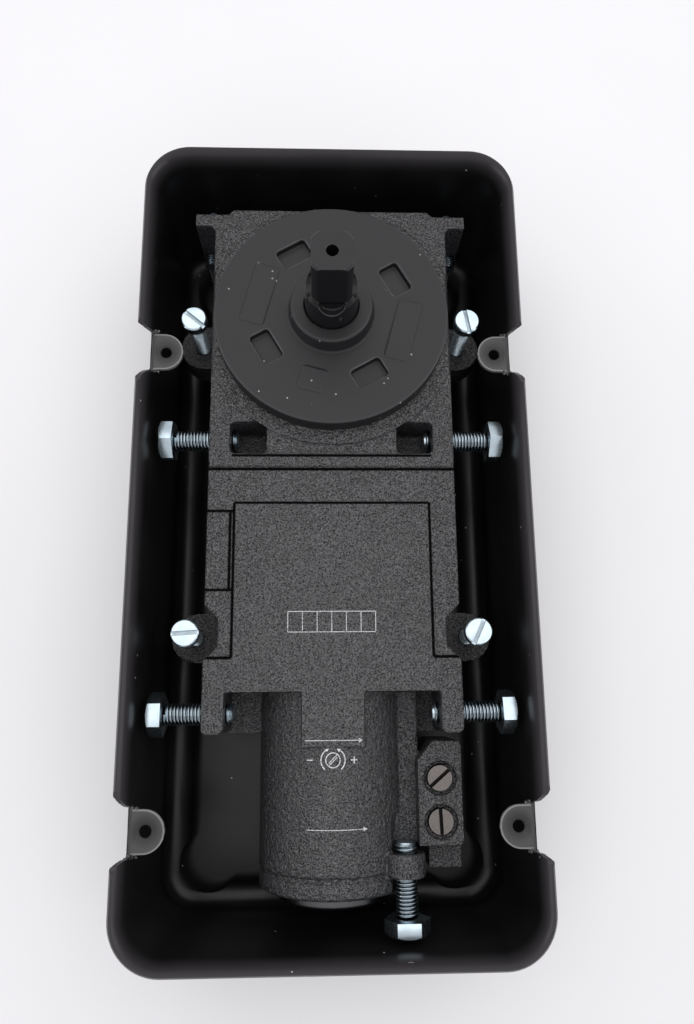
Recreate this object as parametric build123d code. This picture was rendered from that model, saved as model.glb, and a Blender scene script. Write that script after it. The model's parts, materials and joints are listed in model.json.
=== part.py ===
from build123d import *
import math
import os

# Floor spring door closer in its cement box. Millimetres, +Z up, +Y towards the spindle end,
# origin at the bottom centre of the box.

# Clearances and eased edges
CLEAR = 1.0
THREAD_FIT, BEAR_FIT, SEAL_FIT, PISTON_FIT, CAM_GAP, END_FIT = 0.05, 0.03, 0.03, 0.04, 0.03, 0.05
RING_FIT, CLIP_FIT, BALL_FIT = 0.01, 0.2, 0.2
SMALL_EDGE, SCREW_EDGE, PLUG_EDGE = 0.5, 0.7, 1.0

# Cement box
SHEET = 1.5
LIP_OUT, LIP_H = 2.8, 3.2
CORNER_R, FOOT_R = 15.0, 7.0
SIDE_GAP, FAR_GAP, NEAR_GAP = 22.4, 17.6, 15.1
PLAT_H = 2.5
PLAT_SIDE, PLAT_NEAR, PLAT_FAR = 9.7, 8.4, 12.9
PLAT_R, LOBE_OUT = 12.0, 3.0
TOP_DROP, TAB_DROP = 9.0, 10.0
TAB_FAR_IN, TAB_NEAR_IN = 79.2, 38.6
TAB_W, TAB_REACH, TAB_HOLE_IN, TAB_HOLE_R = 14.6, 12.8, 6.2, 2.1
TAB_COLLAR_T, TAB_COLLAR_H = 1.1, 1.6
NOTCH_FIT, NOTCH_OPEN, NOTCH_SLOPE = 0.2, 4.4, 6.0

# Casting: its overall sizes
BORE_R, CASE_T, CASE_L, CASE_FLAT, CREST_DROP = 20.5, 7.0, 69.8, 2.0, 0.5
BODY_GAP, NEAR_REACH = 1.5, 211.3
LID_R, BLOCK_OVER, FAR_OVER, NEAR_OVER = 44.6, 1.7, 5.2, 14.5
PRONG_L, TONGUE_L = 14.6, 19.0
PLATE_T, PRONG_T, PRONG_H, PRONG_R, TONGUE_W = 14.0, 7.9, 25.0, 2.2, 22.0
BAND_H, PANEL_IN, PANEL_FAR, PANEL_NEAR = 0.5, 10.5, 13.3, 11.5

# Standard fasteners
M8_R, M8_AF, M8_HEAD, M8_LEN, M8_EDGE = 4.0, 14.0, 5.3, 25.0, 0.8
M6_R, CHEESE_R, CHEESE_H, M6_LEN = 3.0, 5.0, 3.9, 50.0
SET_LEN, SET_SLOT, SLOT_W, SLOT_H = 25.0, 1.2, 1.6, 1.4
LAT_GAP, END_GAP, TIP_GAP = 2.3, 2.3, 0.05

# Places that follow from those sizes
CYL_R = BORE_R + CASE_T
BODY_H = CREST_DROP + 2 * CYL_R - CASE_FLAT
PLAT_TOP = SHEET + PLAT_H
FLOOR = PLAT_TOP + BODY_GAP
TOP = FLOOR + BODY_H
BOX_H = TOP + TOP_DROP
FAR_REACH, BLOCK_NEAR, CUT_FAR = LID_R + FAR_OVER, LID_R + NEAR_OVER, NEAR_REACH - CASE_L
BLOCK_X = LID_R + BLOCK_OVER
INNER_X = BLOCK_X + SIDE_GAP
WALL_X = 2 * (INNER_X + SHEET)
WALL_Y = FAR_REACH + NEAR_REACH + FAR_GAP + NEAR_GAP + 2 * SHEET
INNER_Y = WALL_Y / 2 - SHEET
TAB_TOP = BOX_H - TAB_DROP
TAB_X = WALL_X / 2 - TAB_HOLE_IN
TAB_FAR_Y, TAB_NEAR_Y = INNER_Y - TAB_FAR_IN, -INNER_Y + TAB_NEAR_IN
CY = INNER_Y - FAR_GAP - FAR_REACH
BLOCK_Y0, BLOCK_Y1 = CY - BLOCK_NEAR, CY + FAR_REACH
CUT_Y = CY - CUT_FAR
PRONG_Y, TONGUE_Y = CUT_Y - PRONG_L, CUT_Y - TONGUE_L
CYL_Y = CY - NEAR_REACH
CYL_Z = TOP - CREST_DROP - CYL_R
MID_Z0 = TOP - PLATE_T
SKIRT_X, SKIRT_Z0 = BLOCK_X - PRONG_T, TOP - PRONG_H
PANEL_X = BLOCK_X - PANEL_IN

# Screw places on the casting
BOLT_DROP, LUG_DROP, SET_DROP = 10.0, 25.0, 21.0
BOLT_Z = TOP - BOLT_DROP
LAT_X = INNER_X - LAT_GAP - M8_HEAD
LAT_FAR_IN, LAT_NEAR_IN = 14.2, 6.9
LAT_FAR_Y, LAT_NEAR_Y = BLOCK_Y0 + LAT_FAR_IN, PRONG_Y + LAT_NEAR_IN
POCKET_L, POCKET_W, POCKET_OFF, POCKET_UNDER, POCKET_R = 13.8, 12.4, 6.0, 1.6, 2.0
STRIP_W = POCKET_OFF
END_IN, BOSS_IN, BOSS_R, BOSS_L, RELIEF = 2.0, 6.0, 6.9, 8.1, 0.8
END_X = CYL_R - END_IN
END_Y = -(INNER_Y - END_GAP - M8_HEAD)
BOSS_Y0 = CYL_Y + BOSS_IN
BOSS_Y1 = BOSS_Y0 + BOSS_L
LUG_H, LUG_R = 12.0, 9.5
LUG_TOP = TOP - LUG_DROP
LUG_FAR_OUT, LUG_FAR_BACK, LUG_NEAR_OUT, LUG_NEAR_BACK = 7.5, 2.5, 6.9, 21.0
LUG_FAR = (BLOCK_X + LUG_FAR_OUT, CY + LUG_FAR_BACK)
LUG_NEAR = (BLOCK_X + LUG_NEAR_OUT, CUT_Y + LUG_NEAR_BACK)
SIDE_NOTCH, NOTCH_OVER = 5.0, 1.5
SCREW_TIP = PLAT_TOP + TIP_GAP
EAR_OUT, EAR_T, EAR_BACK, EAR_FILLET, CORNER_CUT = 7.9, 5.2, 2.1, 3.0, 7.3
EAR_X = BLOCK_X + EAR_OUT
EAR_Y1 = BLOCK_Y1 - EAR_BACK
EAR_Y0 = EAR_Y1 - EAR_T
EAR_H, WEB_H, WEB_L = 29.0, 8.0, 23.0
SET_IN, SET_OUT = 3.6, 5.0
SET_X, SET_Z = EAR_X - SET_IN, TOP - SET_DROP
GROOVE_IN, GROOVE_W, GROOVE_H = 6.6, 2.0, 1.2
GROOVE_Y = CYL_Y + GROOVE_IN
LINE_W, LINE_H = 1.3, 1.2

# Lid, spindle and bearings
SEAT_H, SEAT_OUT, SEAT_SIDE, SEAT_BACK = 1.2, 5.4, 0.8, 0.4
LID_T, LID_STEP, LID_DEEP = 7.1, 6.1, 13.0
LID_THREAD_R = LID_R - LID_STEP
LID_Z = TOP + SEAT_H
LID_TOP = LID_Z + LID_T
LID_LOW = TOP - LID_DEEP
RING_IN, RING_R, RING_W = 3.4, 0.55, 1.4
HUB_R, HUB_TOP_R, HUB_UP, HUB_FIT = 16.3, 15.2, 5.8, 0.25
HUB_TOP = LID_TOP + HUB_UP
PIN_CIRCLE, PIN_L, PIN_W, PIN_DEEP, PIN_CORNER = 28.3, 12.6, 8.0, 2.6, 1.5
PLATE_L, PLATE_SHORT, PLATE_W, PLATE_UP, PLATE_CORNER = 24.2, 9.7, 9.0, 0.4, 1.2
NECK_R, SQUARE, SQUARE_R, SQUARE_L, SLOPE_L = 10.0, 14.3, 8.75, 21.0, 2.5
FLAT_UP, TAIL_R, TOP_EDGE, SPINDLE_UP = 2.0, 4.6, 0.6, 37.7
SPINDLE_TOP = LID_TOP + SPINDLE_UP
TAP_R, TAP_DEPTH = 2.1, 16.0
LOW_R, SEAT_R, COLLAR_R, NECK_ROOM, NECK_OFF, FOOT_OFF = 8.0, 9.5, 13.0, 0.6, 0.4, 0.3
BEAR_L, UP_BEAR_R, LOW_BEAR_R, BEAR_CLIP, CLIP_ROOM, BOTTOM_T = 10.0, 14.0, 12.0, 1.5, 1.2, 3.5
UP_BEAR_Z0, LOW_BEAR_Z0 = LID_LOW + BEAR_CLIP, FLOOR + BOTTOM_T
SEAL_R, SEAL_UP, SEAL_H, SEAL_LIP, SEAL_RIM, SEAL_DISH = 13.0, 1.0, 5.0, 1.0, 0.9, 0.8
SEAL_Z0 = TOP + SEAL_UP

# Cam, roller and piston
CAM_T, COLLAR_T, WASHER_T, WASHER_IN, WASHER_OUT = 12.0, 4.0, 1.95, 0.4, 0.6
ROLLER_R, ROLLER_D0 = 8.0, 21.0
LIFT, SWING = 14.0, 130.0
CAM_REACH, CHAMBER_GAP = ROLLER_D0 + LIFT - ROLLER_R, 7.0
CHAMBER_R = CAM_REACH + CHAMBER_GAP
CAM_Z0, CAM_Z1 = CYL_Z - CAM_T / 2, CYL_Z + CAM_T / 2
CHAMBER_Z = CAM_Z0 - COLLAR_T - WASHER_T - END_FIT
CLIP_T, CLIP_DEEP, CLIP_R = 1.3, 0.8, 12.3
PIN_R = 3.5
ARM_T, ARM_W, ARM_FIT = 4.4, 7.0, 0.3
PISTON_L, LID_GAP = 23.0, 1.0
ROLLER_Y = CY - ROLLER_D0
PISTON_Y1 = CY - LID_THREAD_R - LID_GAP
PISTON_Y0 = PISTON_Y1 - PISTON_L
RING_DEEP, RING_L, RING_OFF, RING_GAP = 2.2, 3.0, 4.0, 0.02
CHECK_R, CHECK_SEAT_R, CHECK_IN, CHECK_SCREW_R, CHECK_SCREW_L = 3.0, 2.0, 6.0, 1.2, 4.0
COIL_R, WIRE_R, COILS, COIL_FIT, SPIGOT_GAP, SPIGOT_L = 14.6, 2.3, 11, 0.1, 0.6, 6.0
SPIGOT_R = COIL_R - WIRE_R - SPIGOT_GAP
PLUG_OUT, PLUG_IN, PLUG_RING, PLUG_GROOVE_W, PLUG_GROOVE_H, PLUG_RING_R = 4.5, 19.8, 15.3, 3.0, 2.0, 0.98
PLUG_Y0, PLUG_Y1 = CYL_Y - PLUG_OUT, CYL_Y + PLUG_IN
PLUG_HOLE_R, PLUG_HOLE_L, PLUG_HOLE_X, PLUG_DISH = 2.0, 8.0, 7.5, 3.0
KEY_W, KEY_IN, KEY_OUT = 5.0, 2.5, 2.0

# Oil channel and valves
RIB_IN, RIB_OUT, RIB_NEAR, RIB_DROP, RIB_WALL = 5.0, 3.9, 18.5, 0.7, 3.0
RIB_X0, RIB_X1, RIB_Y = CYL_R - RIB_IN, CYL_R + RIB_OUT, CYL_Y + RIB_NEAR
RIB_TOP = BOLT_Z - M8_R - RIB_DROP
VALVE_IN, VALVE_NEAR, VALVE_STEP = 8.0, 24.1, 14.9
VALVE_X, VALVE_Y = BLOCK_X - VALVE_IN, (CYL_Y + VALVE_NEAR + VALVE_STEP, CYL_Y + VALVE_NEAR)
VB_DROP, VB_DEEP, VALVE_R, RECESS_R, RECESS_H = 8.0, 8.0, 4.4, 5.9, 2.4
VALVE_TOP = TOP - VB_DROP
VALVE_DROP, VALVE_L, VALVE_SLOT_H, VALVE_SLOT_W = 1.0, 9.4, 1.6, 1.3
NOSE_STEP, NOSE_L, POINT_R0, POINT_R1, POINT_L = 1.2, 2.2, 1.4, 0.6, 1.4
VALVE_GROOVE, VALVE_GROOVE_W, VALVE_RING_IN, POINT_LAP = 1.1, 2.0, 0.52, 0.1
GALLERY_IN, GALLERY_DROP, GALLERY_R = 0.5, 12.0, 2.0
GALLERY_X, GALLERY_Z = CYL_R - GALLERY_IN, VALVE_TOP - GALLERY_DROP
PORT_R, DROP_PORT_R, BORE_PORT_R, PORT_UP, PORT_IN = 1.5, 1.8, 1.4, 0.6, 3.5
VB_LAND, VB_SIDE, VB_FAR = 8.1, 0.3, 13.2
VB_X0, VB_X1 = VALVE_X - VB_LAND, BLOCK_X - VB_SIDE
VB_Y0, VB_Y1 = VALVE_Y[1] - VB_LAND, VALVE_Y[0] + VB_FAR
VB_BEVEL_X, VB_BEVEL_Y, VB_FILLET, VB_WEB = 5.6, 7.0, 1.5, 5.0
STEP_L, STEP_DROP = 8.4, 6.5


def box(x0, x1, y0, y1, z0, z1):
    return Pos((x0 + x1) / 2, (y0 + y1) / 2, (z0 + z1) / 2) * Box(abs(x1 - x0), abs(y1 - y0), abs(z1 - z0))


def rod(r, z0, z1, x=0.0, y=CY):
    return Pos(x, y, (z0 + z1) / 2) * Cylinder(r, z1 - z0)


def rod_y(r, y0, y1, x=0.0, z=CYL_Z):
    return Pos(x, (y0 + y1) / 2, z) * Rot(90, 0, 0) * Cylinder(r, abs(y1 - y0))


def rod_x(r, x0, x1, y, z):
    return Pos((x0 + x1) / 2, y, z) * Rot(0, 90, 0) * Cylinder(r, abs(x1 - x0))


def ring(r0, r1, z0, z1, x=0.0, y=CY):
    return rod(r1, z0, z1, x, y) - rod(r0, z0 - CLEAR, z1 + CLEAR, x, y)


def ring_y(r0, r1, y0, y1):
    return rod_y(r1, y0, y1) - rod_y(r0, y0 - CLEAR, y1 + CLEAR)


def slab(w, d, r, z0, z1, y=0.0):
    return Pos(0, y, z0) * extrude(RectangleRounded(w, d, r), z1 - z0)


def prism(points, z0, z1):
    return Pos(0, 0, z0) * extrude(make_face(Polyline(*points, close=True)), z1 - z0)


def mirror_x(shape):
    return mirror(shape, about=Plane.YZ)


def on_side(sx, shape):
    return shape if sx > 0 else mirror_x(shape)


def slot_cut(x, y, top, r, angle, depth=SLOT_H, width=SLOT_W):
    return Pos(x, y, top) * Rot(0, 0, angle) * Box(2 * r + 2 * CLEAR, width, 2 * depth)


# Cement box
def pan(w, d, r, z0, foot):
    body = slab(w, d, r, z0, BOX_H - LIP_H)
    body = fillet(body.edges().group_by(Axis.Z)[0], foot)
    steps = ((0.0, 0.0), (0.45, 0.15), (0.8, 0.5), (1.0, 1.0))
    for (up0, out0), (up1, out1) in zip(steps, steps[1:]):
        grow, rise = LIP_OUT * out0, LIP_H * (up1 - up0)
        outline = RectangleRounded(w + 2 * grow, d + 2 * grow, r + grow)
        lean = -math.degrees(math.atan(LIP_OUT * (out1 - out0) / rise))
        body += Pos(0, 0, BOX_H - LIP_H * (1 - up0)) * extrude(outline, rise, taper=lean)
    return body


def platform(grow, z0, z1):
    half_x = INNER_X - PLAT_SIDE
    y0, y1 = -INNER_Y + PLAT_NEAR, INNER_Y - PLAT_FAR
    shape = slab(2 * (half_x + grow), y1 - y0 + 2 * grow, PLAT_R + grow, z0, z1, (y0 + y1) / 2)
    for sx in (-1, 1):
        for y in (y0 + PLAT_R - LOBE_OUT, y1 - PLAT_R + LOBE_OUT):
            shape += rod(PLAT_R + grow, z0, z1, sx * (half_x - PLAT_R + LOBE_OUT), y)
    return shape


def tab(sx, y):
    inner = WALL_X / 2 - TAB_REACH
    end = inner + TAB_W / 2
    low = TAB_TOP - SHEET
    shape = box(end, WALL_X / 2 - SHEET / 2, y - TAB_W / 2, y + TAB_W / 2, low, TAB_TOP)
    shape += rod(TAB_W / 2, low, TAB_TOP, end, y)
    shape += rod(TAB_HOLE_R + TAB_COLLAR_T, low - TAB_COLLAR_H, low + SHEET / 2, TAB_X, y)
    shape -= rod(TAB_HOLE_R, low - 2 * TAB_COLLAR_H, TAB_TOP + CLEAR, TAB_X, y)
    return on_side(sx, shape)


def notch(sx, y):
    low, top = TAB_W / 2 + NOTCH_FIT, TAB_W / 2 + NOTCH_OPEN
    knee = BOX_H - NOTCH_SLOPE
    side = [(low, TAB_TOP), (low, knee), (top, BOX_H + CLEAR)]
    outline = [(y + a, b) for a, b in side] + [(y - a, b) for a, b in reversed(side)]
    face = Plane.YZ * make_face(Polyline(*outline, close=True))
    return on_side(sx, Pos(INNER_X - SHEET, 0, 0) * extrude(face, 3 * SHEET + 2 * LIP_OUT))


def cement_box():
    shape = pan(WALL_X, WALL_Y, CORNER_R, 0, FOOT_R)
    shape -= pan(WALL_X - 2 * SHEET, WALL_Y - 2 * SHEET, CORNER_R - SHEET, SHEET, FOOT_R - SHEET)
    shape += platform(0, SHEET / 2, PLAT_TOP)
    shape -= platform(-SHEET, -CLEAR, PLAT_H)
    for sx in (-1, 1):
        for y in (TAB_NEAR_Y, TAB_FAR_Y):
            shape -= notch(sx, y)
            shape += tab(sx, y)
    return shape


# Closer body
def far_block():
    knee = BLOCK_Y1 - CORNER_CUT - EAR_T
    shape = box(-BLOCK_X, BLOCK_X, BLOCK_Y0, knee, FLOOR, TOP)
    shape = fillet(shape.edges().filter_by(Axis.Z).group_by(Axis.Y)[0], EAR_FILLET)
    x = BLOCK_X - CORNER_CUT
    end = [(BLOCK_X, knee - CLEAR), (BLOCK_X, BLOCK_Y1 - CORNER_CUT), (x, BLOCK_Y1)]
    shape += prism(end + [(-a, b) for a, b in reversed(end)], FLOOR, TOP)
    for sx in (-1, 1):
        ear = box(x, EAR_X, EAR_Y0, EAR_Y1, TOP - EAR_H, TOP)
        ear += box(x, BLOCK_X, knee - CLEAR, EAR_Y0 + CLEAR, TOP - EAR_H, TOP)
        inside = ear.edges().filter_by(Axis.Z).filter_by_position(Axis.X, BLOCK_X - 0.01, BLOCK_X + 0.01)
        ear = fillet(inside.sort_by(Axis.Y)[-1], EAR_FILLET)
        web_y0, web_y1 = EAR_Y0 - WEB_L, EAR_Y0 + CLEAR
        in_x = BLOCK_X - CLEAR
        web = [(in_x, web_y1), (EAR_X, web_y1), (BLOCK_X - CLEAR / 2, web_y0), (in_x, web_y0)]
        ear += prism(web, TOP - EAR_H - WEB_H, TOP - EAR_H)
        shape += on_side(sx, ear)
    return shape


def lug(sx, point, inner):
    x, y = point
    low = LUG_TOP - LUG_H
    return on_side(sx, box(inner, x, y - LUG_R, y + LUG_R, low, LUG_TOP) + rod(LUG_R, low, LUG_TOP, x, y))


def mid_plate():
    shape = box(-BLOCK_X, BLOCK_X, CUT_Y, BLOCK_Y0 + CLEAR, MID_Z0, TOP)
    for sx in (-1, 1):
        side = box(SKIRT_X, BLOCK_X, PRONG_Y, BLOCK_Y0 + CLEAR, SKIRT_Z0, TOP)
        shape += on_side(sx, fillet(side.edges().filter_by(Axis.Z).group_by(Axis.Y)[0], PRONG_R))
        shape += lug(sx, LUG_NEAR, BORE_R)
        x, y = BLOCK_X - SIDE_NOTCH, LUG_NEAR[1]
        outer, wide = BLOCK_X + CLEAR, LUG_R + NOTCH_OVER
        cut = [(x, y - SIDE_NOTCH), (x, y + SIDE_NOTCH), (outer, y + wide), (outer, y - wide)]
        shape -= on_side(sx, prism(cut, LUG_TOP, TOP + CLEAR))
    return shape + box(-TONGUE_W / 2, TONGUE_W / 2, TONGUE_Y, CUT_Y + CLEAR, MID_Z0, TOP)


def cylinder_case():
    shape = rod_y(CYL_R, CYL_Y, BLOCK_Y0 + CLEAR)
    shape = chamfer(shape.edges().group_by(Axis.Y)[0], CLEAR)
    shape -= ring_y(CYL_R - GROOVE_H, CYL_R + CLEAR, GROOVE_Y - GROOVE_W / 2, GROOVE_Y + GROOVE_W / 2)
    return shape - box(-CYL_R, CYL_R, CYL_Y - CLEAR, BLOCK_Y0 + 2 * CLEAR, -CYL_R, FLOOR)


def valve_block():
    low = CYL_Z - VB_DEEP
    outline = [(VB_X0, VB_Y0), (VB_X1, VB_Y0), (VB_X1, VB_Y1)]
    outline += [(VB_X0 + VB_BEVEL_X, VB_Y1), (VB_X0, VB_Y1 - VB_BEVEL_Y)]
    shape = prism(outline, low, VALVE_TOP)
    shape = fillet(shape.edges().filter_by(Axis.Z).sort_by(Axis.X)[-2:], VB_FILLET)
    shape += box(VB_X0 + VB_WEB - CLEAR, VB_X1, VB_Y0 - STEP_L, VB_Y0 + CLEAR, low, VALVE_TOP - STEP_DROP)
    shape += box(BORE_R, VB_X0 + VB_WEB, VB_Y0, VB_Y1 - VB_BEVEL_Y - CLEAR, low, RIB_TOP)
    shape += box(RIB_X0 - RIB_WALL, RIB_X1, RIB_Y, CUT_Y + CLEAR, low, RIB_TOP)
    shape += rod_y(BOSS_R, BOSS_Y0, BOSS_Y1, END_X, BOLT_Z)
    return shape + box(END_X - BOSS_R, END_X + BOSS_R, BOSS_Y0, BOSS_Y1, CYL_Z, BOLT_Z)


def plate_relief():
    low, high = TOP - BAND_H, TOP + CLEAR
    panel_far = BLOCK_Y0 - PANEL_FAR
    panel_near = CUT_Y + PANEL_NEAR
    wide = BLOCK_X + CLEAR
    cut = box(-wide, wide, panel_far, BLOCK_Y0, low, high)
    for sx in (-1, 1):
        cut += on_side(sx, box(PANEL_X, wide, panel_near, panel_far + CLEAR, low, high))
    cut += box(-wide, wide, BLOCK_Y0 - LINE_W / 2, BLOCK_Y0 + LINE_W / 2, TOP - LINE_H, high)
    field_y = BLOCK_Y0 + STRIP_W
    return cut + box(-SKIRT_X + CLEAR, SKIRT_X - CLEAR, field_y, field_y + POCKET_W / 2, low, high)


def bolt_holes():
    middle = LID_R - RING_IN
    cut = ring(middle - RING_W / 2, middle + RING_W / 2, LID_Z - 2.1 * RING_R, LID_Z + CLEAR)
    y = BLOCK_Y0 + POCKET_OFF
    for sx in (-1, 1):
        pocket = box(SKIRT_X - POCKET_L, SKIRT_X, y, y + POCKET_W, BOLT_Z - M8_R - POCKET_UNDER, TOP + CLEAR)
        cut += on_side(sx, fillet(pocket.edges().filter_by(Axis.Z), POCKET_R))
        for bolt_y in (LAT_FAR_Y, LAT_NEAR_Y):
            cut += on_side(sx, rod_x(M8_R + THREAD_FIT, SKIRT_X - PRONG_T, INNER_X, bolt_y, BOLT_Z))
        for x, y_lug in (LUG_FAR, LUG_NEAR):
            cut += rod(M6_R + THREAD_FIT, LUG_TOP - LUG_H - CLEAR, LUG_TOP + CLEAR, sx * x, y_lug)
        cut += rod_y(M6_R + THREAD_FIT, EAR_Y0 - EAR_T, EAR_Y1 + CLEAR, sx * SET_X, SET_Z)
    cut += rod_y(M8_R + THREAD_FIT, BOSS_Y0 - CLEAR, BOSS_Y1 + CLEAR, END_X, BOLT_Z)
    for y0, y1 in ((CYL_Y - CLEAR, BOSS_Y0), (BOSS_Y1, BOSS_Y1 + M8_LEN / 2)):
        cut += rod_y(M8_R + RELIEF, y0, y1, END_X, BOLT_Z)
    return cut


def oil_ways():
    cut = rod(CHAMBER_R, CHAMBER_Z, LID_LOW + CLEAR)
    cut += rod(LID_THREAD_R, LID_LOW, LID_Z + CLEAR)
    cut += rod(LOW_BEAR_R, LOW_BEAR_Z0, CHAMBER_Z + CLEAR)
    cut += rod_y(BORE_R, CYL_Y - CLEAR, ROLLER_Y)
    cut += rod_y(GALLERY_R, RIB_Y + RIB_WALL, CY - CHAMBER_R / 2, GALLERY_X, GALLERY_Z)
    for y in VALVE_Y:
        cut += rod(RECESS_R, VALVE_TOP - RECESS_H, VALVE_TOP + CLEAR, VALVE_X, y)
        cut += rod(VALVE_R + THREAD_FIT, GALLERY_Z - 1.5 * GALLERY_R, VALVE_TOP, VALVE_X, y)
        cut += rod_x(PORT_R, GALLERY_X, VALVE_X, y, GALLERY_Z)
        cut += rod(DROP_PORT_R, CYL_Z - PORT_R, GALLERY_Z - GALLERY_R, VALVE_X, y)
        cut += rod_x(BORE_PORT_R, BORE_R - PORT_IN, VALVE_X, y, CYL_Z + PORT_UP)
    return cut


def closer_body():
    shape = far_block() + mid_plate() + cylinder_case() + valve_block()
    for sx in (-1, 1):
        shape += lug(sx, LUG_FAR, SKIRT_X)
    shape -= plate_relief()
    seat_x = BLOCK_X - SEAT_SIDE
    room = box(-seat_x, seat_x, BLOCK_Y0 + STRIP_W, BLOCK_Y1 + SEAT_BACK, TOP - 2 * CLEAR, LID_Z + CLEAR)
    shape += rod(LID_R + SEAT_OUT, TOP - CLEAR, LID_Z) & room
    shape -= oil_ways() + bolt_holes()
    return shape


# Lid with its bearing and seal
def lid():
    shape = rod(LID_R, LID_Z, LID_TOP) + rod(LID_THREAD_R, LID_LOW, LID_Z)
    shape = chamfer(shape.edges().group_by(Axis.Z)[-1], SMALL_EDGE)
    base = (Align.CENTER, Align.CENTER, Align.MIN)
    shape += Pos(0, CY, LID_TOP) * Cone(HUB_R, HUB_TOP_R, HUB_UP, align=base)
    shape = chamfer(shape.edges().group_by(Axis.Z)[-1], SMALL_EDGE)
    shape -= rod(SEAL_R, SEAL_Z0, SEAL_Z0 + SEAL_H)
    shape -= rod(NECK_R + NECK_ROOM, LID_LOW - CLEAR, SEAL_Z0 + CLEAR)
    shape -= rod(NECK_R + HUB_FIT, SEAL_Z0, HUB_TOP + CLEAR)
    shape -= rod(UP_BEAR_R, LID_LOW - CLEAR, UP_BEAR_Z0 + BEAR_L)
    pocket = extrude(RectangleRounded(PIN_W, PIN_L, PIN_CORNER), PIN_DEEP + CLEAR)
    for k in range(4):
        shape -= Pos(0, CY, LID_TOP) * Rot(0, 0, 30 + 90 * k) * Pos(PIN_CIRCLE, 0, -PIN_DEEP) * pocket
    for turn, length in ((165, PLATE_L), (255, PLATE_SHORT), (345, PLATE_L)):
        plate = extrude(RectangleRounded(PLATE_W, length, PLATE_CORNER), CLEAR + PLATE_UP)
        shape += Pos(0, CY, LID_TOP) * Rot(0, 0, turn) * Pos(PIN_CIRCLE, 0, -CLEAR) * plate
    return shape


def lid_o_ring():
    return Pos(0, CY, LID_Z - RING_R - RING_FIT) * Torus(LID_R - RING_IN, RING_R)


def upper_bearing():
    return ring(NECK_R + BEAR_FIT, UP_BEAR_R, UP_BEAR_Z0, UP_BEAR_Z0 + BEAR_L)


def bearing_clip():
    return ring(NECK_R + CLIP_ROOM, UP_BEAR_R, LID_LOW + CLIP_FIT, UP_BEAR_Z0)


def spindle_seal():
    top = SEAL_Z0 + SEAL_H
    shape = ring(NECK_R + SEAL_FIT, SEAL_R, SEAL_Z0, top)
    return shape - ring(NECK_R + SEAL_LIP, SEAL_R - SEAL_RIM, top - SEAL_DISH, top + CLEAR)


def lower_bearing():
    return ring(LOW_R + BEAR_FIT, LOW_BEAR_R, LOW_BEAR_Z0, CHAMBER_Z)


def thrust_washer():
    return ring(LOW_R + WASHER_IN, COLLAR_R + WASHER_OUT, CHAMBER_Z, CHAMBER_Z + WASHER_T)


# Spindle and cam
def spindle():
    neck_low = LID_LOW + NECK_OFF
    square_z = SPINDLE_TOP - SQUARE_L
    shape = rod(LOW_R, LOW_BEAR_Z0 + FOOT_OFF, CAM_Z0) + rod(COLLAR_R, CAM_Z0 - COLLAR_T, CAM_Z0)
    shape += rod(SEAT_R, CAM_Z0 - CLEAR, neck_low) + rod(NECK_R, neck_low, square_z)
    top = rod(SQUARE_R, square_z - CLEAR, SPINDLE_TOP)
    shape += chamfer(top.edges().group_by(Axis.Z)[-1], TOP_EDGE)
    base = (Align.CENTER, Align.CENTER, Align.MIN)
    shape += Pos(0, CY, square_z) * Cone(NECK_R, SQUARE_R, SLOPE_L, align=base)
    for k in range(4):
        long = SQUARE_L - FLAT_UP
        flat = Pos(SQUARE / 2 + NECK_R / 2, 0, 0) * Box(NECK_R, 3 * NECK_R, 2 * long)
        tail = Pos(SQUARE / 2 + NECK_R / 2, 0, -long) * Rot(0, 90, 0) * Cylinder(TAIL_R, NECK_R)
        shape -= Pos(0, CY, SPINDLE_TOP) * Rot(0, 0, 90 * k) * (flat + tail)
    shape -= rod(TAP_R, SPINDLE_TOP - TAP_DEPTH, SPINDLE_TOP + CLEAR)
    shape -= cam_key()
    return shape - ring(SEAT_R - CLIP_DEEP, SEAT_R + CLEAR, CAM_Z1 + END_FIT, CAM_Z1 + END_FIT + CLIP_T)


def pitch_radius(phi):
    return ROLLER_D0 + LIFT * min(math.degrees(abs(phi)), SWING + 3) / SWING


def cam_radius(alpha):
    reach = ROLLER_R + CAM_GAP
    found = []
    for i in range(-180, 181):
        phi = math.radians(i)
        turn = (alpha - phi + math.pi) % (2 * math.pi) - math.pi
        r = pitch_radius(phi)
        aside = r * math.sin(turn)
        if abs(turn) < math.pi / 4 and abs(aside) < reach:
            found.append(r * math.cos(turn) - math.sqrt(reach * reach - aside * aside))
    return min(found)


def heart_cam():
    points = []
    for i in range(-180, 180, 4):
        a = math.radians(i)
        r = cam_radius(a)
        points.append((r * math.sin(a), CY - r * math.cos(a)))
    shape = prism(points, CAM_Z0, CAM_Z1) - rod(SEAT_R, CAM_Z0 - CLEAR, CAM_Z1 + CLEAR)
    return shape - cam_key()


def cam_key():
    y = CY + SEAT_R
    return box(-KEY_W / 2, KEY_W / 2, y - KEY_IN, y + KEY_OUT, CAM_Z0, CAM_Z1)


def cam_clip():
    low = CAM_Z1 + END_FIT
    shape = ring(SEAT_R - CLIP_DEEP, CLIP_R, low, low + CLIP_T)
    return shape - box(-PIN_R, PIN_R, CY + SEAT_R / 2, CY + 2 * CLIP_R, low - CLEAR, low + CLIP_T + CLEAR)


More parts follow.
